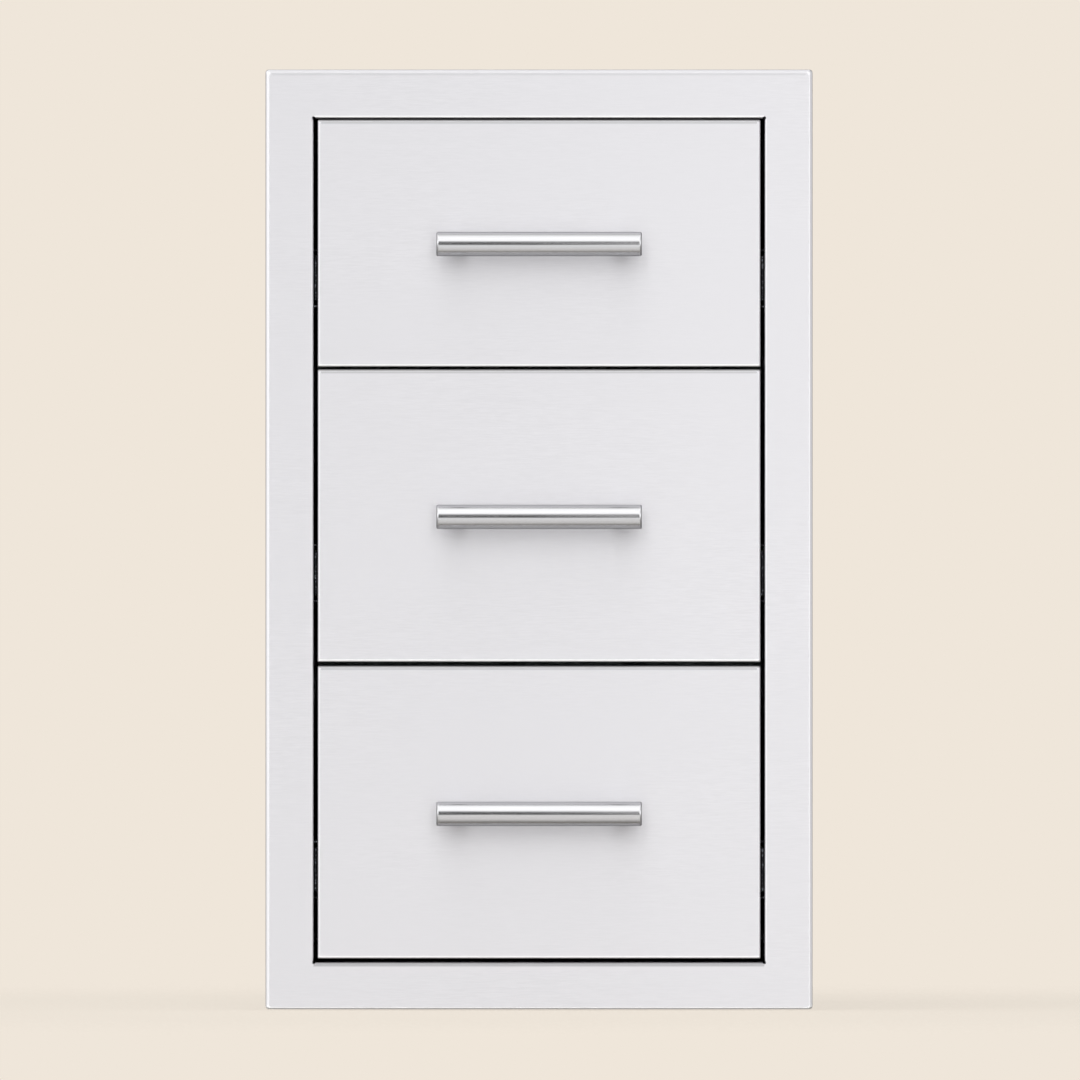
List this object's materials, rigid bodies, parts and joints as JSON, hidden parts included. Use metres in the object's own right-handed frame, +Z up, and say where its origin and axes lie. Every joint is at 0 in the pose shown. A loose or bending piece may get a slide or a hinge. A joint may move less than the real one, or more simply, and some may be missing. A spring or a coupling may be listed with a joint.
{
  "type": "outdoor kitchen drawer unit",
  "caption": "Built-in stainless drawer unit: flanged face frame on a folded sheet cabinet, flush drawers with bar handles on full-extension ball bearing slides.",
  "frame": {"origin": "on the sill of the cut-out: middle of the unit's width, plane of the wall's face, underside of the cabinet floor", "axes": "+X to the right as one faces the unit, +Y into the wall, +Z up; the drawers pull out along -Y"},
  "size_m": [0.432, 0.5893, 0.742],
  "materials": {
    "brushed_stainless": "satin, brushed along the width",
    "plain_stainless": "plain mill finish sheet",
    "handle_stainless": "fine satin, nearly bright",
    "zinc_plated_steel": "bright zinc plating",
    "cage_steel": "greased plain steel"
  },
  "bodies": {
    "cabinet": {"face_frame": "brushed_stainless", "left_side_panel": "plain_stainless", "right_side_panel": "plain_stainless", "top_panel": "plain_stainless", "bottom_panel": "plain_stainless", "rear_panel": "plain_stainless", "top_drawer_left_cabinet_rail": "zinc_plated_steel", "top_drawer_right_cabinet_rail": "zinc_plated_steel", "centre_drawer_left_cabinet_rail": "zinc_plated_steel", "centre_drawer_right_cabinet_rail": "zinc_plated_steel", "bottom_drawer_left_cabinet_rail": "zinc_plated_steel", "bottom_drawer_right_cabinet_rail": "zinc_plated_steel"},
    "top_drawer": {"top_drawer_front_skin": "brushed_stainless", "top_drawer_front_liner": "plain_stainless", "top_drawer_tray": "plain_stainless", "top_drawer_handle_bar": "handle_stainless", "top_drawer_left_handle_post": "handle_stainless", "top_drawer_right_handle_post": "handle_stainless", "top_drawer_left_handle_screw": "zinc_plated_steel", "top_drawer_right_handle_screw": "zinc_plated_steel", "top_drawer_left_drawer_rail": "zinc_plated_steel", "top_drawer_right_drawer_rail": "zinc_plated_steel"},
    "centre_drawer": {"centre_drawer_front_skin": "brushed_stainless", "centre_drawer_front_liner": "plain_stainless", "centre_drawer_tray": "plain_stainless", "centre_drawer_handle_bar": "handle_stainless", "centre_drawer_left_handle_post": "handle_stainless", "centre_drawer_right_handle_post": "handle_stainless", "centre_drawer_left_handle_screw": "zinc_plated_steel", "centre_drawer_right_handle_screw": "zinc_plated_steel", "centre_drawer_left_drawer_rail": "zinc_plated_steel", "centre_drawer_right_drawer_rail": "zinc_plated_steel"},
    "bottom_drawer": {"bottom_drawer_front_skin": "brushed_stainless", "bottom_drawer_front_liner": "plain_stainless", "bottom_drawer_tray": "plain_stainless", "bottom_drawer_handle_bar": "handle_stainless", "bottom_drawer_left_handle_post": "handle_stainless", "bottom_drawer_right_handle_post": "handle_stainless", "bottom_drawer_left_handle_screw": "zinc_plated_steel", "bottom_drawer_right_handle_screw": "zinc_plated_steel", "bottom_drawer_left_drawer_rail": "zinc_plated_steel", "bottom_drawer_right_drawer_rail": "zinc_plated_steel"},
    "top_left_link": {"top_drawer_left_link_rail": "zinc_plated_steel"},
    "top_right_link": {"top_drawer_right_link_rail": "zinc_plated_steel"},
    "centre_left_link": {"centre_drawer_left_link_rail": "zinc_plated_steel"},
    "centre_right_link": {"centre_drawer_right_link_rail": "zinc_plated_steel"},
    "bottom_left_link": {"bottom_drawer_left_link_rail": "zinc_plated_steel"},
    "bottom_right_link": {"bottom_drawer_right_link_rail": "zinc_plated_steel"},
    "top_left_outer_cage": {"top_drawer_left_outer_ball_cage": "cage_steel"},
    "top_right_outer_cage": {"top_drawer_right_outer_ball_cage": "cage_steel"},
    "centre_left_outer_cage": {"centre_drawer_left_outer_ball_cage": "cage_steel"},
    "centre_right_outer_cage": {"centre_drawer_right_outer_ball_cage": "cage_steel"},
    "bottom_left_outer_cage": {"bottom_drawer_left_outer_ball_cage": "cage_steel"},
    "bottom_right_outer_cage": {"bottom_drawer_right_outer_ball_cage": "cage_steel"},
    "top_left_inner_cage": {"top_drawer_left_inner_ball_cage": "cage_steel"},
    "top_right_inner_cage": {"top_drawer_right_inner_ball_cage": "cage_steel"},
    "centre_left_inner_cage": {"centre_drawer_left_inner_ball_cage": "cage_steel"},
    "centre_right_inner_cage": {"centre_drawer_right_inner_ball_cage": "cage_steel"},
    "bottom_left_inner_cage": {"bottom_drawer_left_inner_ball_cage": "cage_steel"},
    "bottom_right_inner_cage": {"bottom_drawer_right_inner_ball_cage": "cage_steel"}
  },
  "joints": [
    {"name": "top_drawer_slide", "type": "slide", "parent": "cabinet", "child": "top_drawer", "axis": [0, -1, 0], "range_m": [0, 0.48]},
    {"name": "centre_drawer_slide", "type": "slide", "parent": "cabinet", "child": "centre_drawer", "axis": [0, -1, 0], "range_m": [0, 0.48]},
    {"name": "bottom_drawer_slide", "type": "slide", "parent": "cabinet", "child": "bottom_drawer", "axis": [0, -1, 0], "range_m": [0, 0.48]},
    {"name": "top_left_link_slide", "type": "slide", "parent": "cabinet", "child": "top_left_link", "axis": [0, -1, 0], "range_m": [0, 0.24]},
    {"name": "top_right_link_slide", "type": "slide", "parent": "cabinet", "child": "top_right_link", "axis": [0, -1, 0], "range_m": [0, 0.24]},
    {"name": "centre_left_link_slide", "type": "slide", "parent": "cabinet", "child": "centre_left_link", "axis": [0, -1, 0], "range_m": [0, 0.24]},
    {"name": "centre_right_link_slide", "type": "slide", "parent": "cabinet", "child": "centre_right_link", "axis": [0, -1, 0], "range_m": [0, 0.24]},
    {"name": "bottom_left_link_slide", "type": "slide", "parent": "cabinet", "child": "bottom_left_link", "axis": [0, -1, 0], "range_m": [0, 0.24]},
    {"name": "bottom_right_link_slide", "type": "slide", "parent": "cabinet", "child": "bottom_right_link", "axis": [0, -1, 0], "range_m": [0, 0.24]},
    {"name": "top_left_outer_cage_slide", "type": "slide", "parent": "cabinet", "child": "top_left_outer_cage", "axis": [0, -1, 0], "range_m": [0, 0.12]},
    {"name": "top_right_outer_cage_slide", "type": "slide", "parent": "cabinet", "child": "top_right_outer_cage", "axis": [0, -1, 0], "range_m": [0, 0.12]},
    {"name": "centre_left_outer_cage_slide", "type": "slide", "parent": "cabinet", "child": "centre_left_outer_cage", "axis": [0, -1, 0], "range_m": [0, 0.12]},
    {"name": "centre_right_outer_cage_slide", "type": "slide", "parent": "cabinet", "child": "centre_right_outer_cage", "axis": [0, -1, 0], "range_m": [0, 0.12]},
    {"name": "bottom_left_outer_cage_slide", "type": "slide", "parent": "cabinet", "child": "bottom_left_outer_cage", "axis": [0, -1, 0], "range_m": [0, 0.12]},
    {"name": "bottom_right_outer_cage_slide", "type": "slide", "parent": "cabinet", "child": "bottom_right_outer_cage", "axis": [0, -1, 0], "range_m": [0, 0.12]},
    {"name": "top_left_inner_cage_slide", "type": "slide", "parent": "cabinet", "child": "top_left_inner_cage", "axis": [0, -1, 0], "range_m": [0, 0.36]},
    {"name": "top_right_inner_cage_slide", "type": "slide", "parent": "cabinet", "child": "top_right_inner_cage", "axis": [0, -1, 0], "range_m": [0, 0.36]},
    {"name": "centre_left_inner_cage_slide", "type": "slide", "parent": "cabinet", "child": "centre_left_inner_cage", "axis": [0, -1, 0], "range_m": [0, 0.36]},
    {"name": "centre_right_inner_cage_slide", "type": "slide", "parent": "cabinet", "child": "centre_right_inner_cage", "axis": [0, -1, 0], "range_m": [0, 0.36]},
    {"name": "bottom_left_inner_cage_slide", "type": "slide", "parent": "cabinet", "child": "bottom_left_inner_cage", "axis": [0, -1, 0], "range_m": [0, 0.36]},
    {"name": "bottom_right_inner_cage_slide", "type": "slide", "parent": "cabinet", "child": "bottom_right_inner_cage", "axis": [0, -1, 0], "range_m": [0, 0.36]}
  ],
  "couplings": [
    {"joint": "top_left_link_slide", "follows": "top_drawer_slide", "ratio": 0.5},
    {"joint": "top_right_link_slide", "follows": "top_drawer_slide", "ratio": 0.5},
    {"joint": "top_left_outer_cage_slide", "follows": "top_drawer_slide", "ratio": 0.25},
    {"joint": "top_right_outer_cage_slide", "follows": "top_drawer_slide", "ratio": 0.25},
    {"joint": "top_left_inner_cage_slide", "follows": "top_drawer_slide", "ratio": 0.75},
    {"joint": "top_right_inner_cage_slide", "follows": "top_drawer_slide", "ratio": 0.75},
    {"joint": "centre_left_link_slide", "follows": "centre_drawer_slide", "ratio": 0.5},
    {"joint": "centre_right_link_slide", "follows": "centre_drawer_slide", "ratio": 0.5},
    {"joint": "centre_left_outer_cage_slide", "follows": "centre_drawer_slide", "ratio": 0.25},
    {"joint": "centre_right_outer_cage_slide", "follows": "centre_drawer_slide", "ratio": 0.25},
    {"joint": "centre_left_inner_cage_slide", "follows": "centre_drawer_slide", "ratio": 0.75},
    {"joint": "centre_right_inner_cage_slide", "follows": "centre_drawer_slide", "ratio": 0.75},
    {"joint": "bottom_left_link_slide", "follows": "bottom_drawer_slide", "ratio": 0.5},
    {"joint": "bottom_right_link_slide", "follows": "bottom_drawer_slide", "ratio": 0.5},
    {"joint": "bottom_left_outer_cage_slide", "follows": "bottom_drawer_slide", "ratio": 0.25},
    {"joint": "bottom_right_outer_cage_slide", "follows": "bottom_drawer_slide", "ratio": 0.25},
    {"joint": "bottom_left_inner_cage_slide", "follows": "bottom_drawer_slide", "ratio": 0.75},
    {"joint": "bottom_right_inner_cage_slide", "follows": "bottom_drawer_slide", "ratio": 0.75}
  ]
}
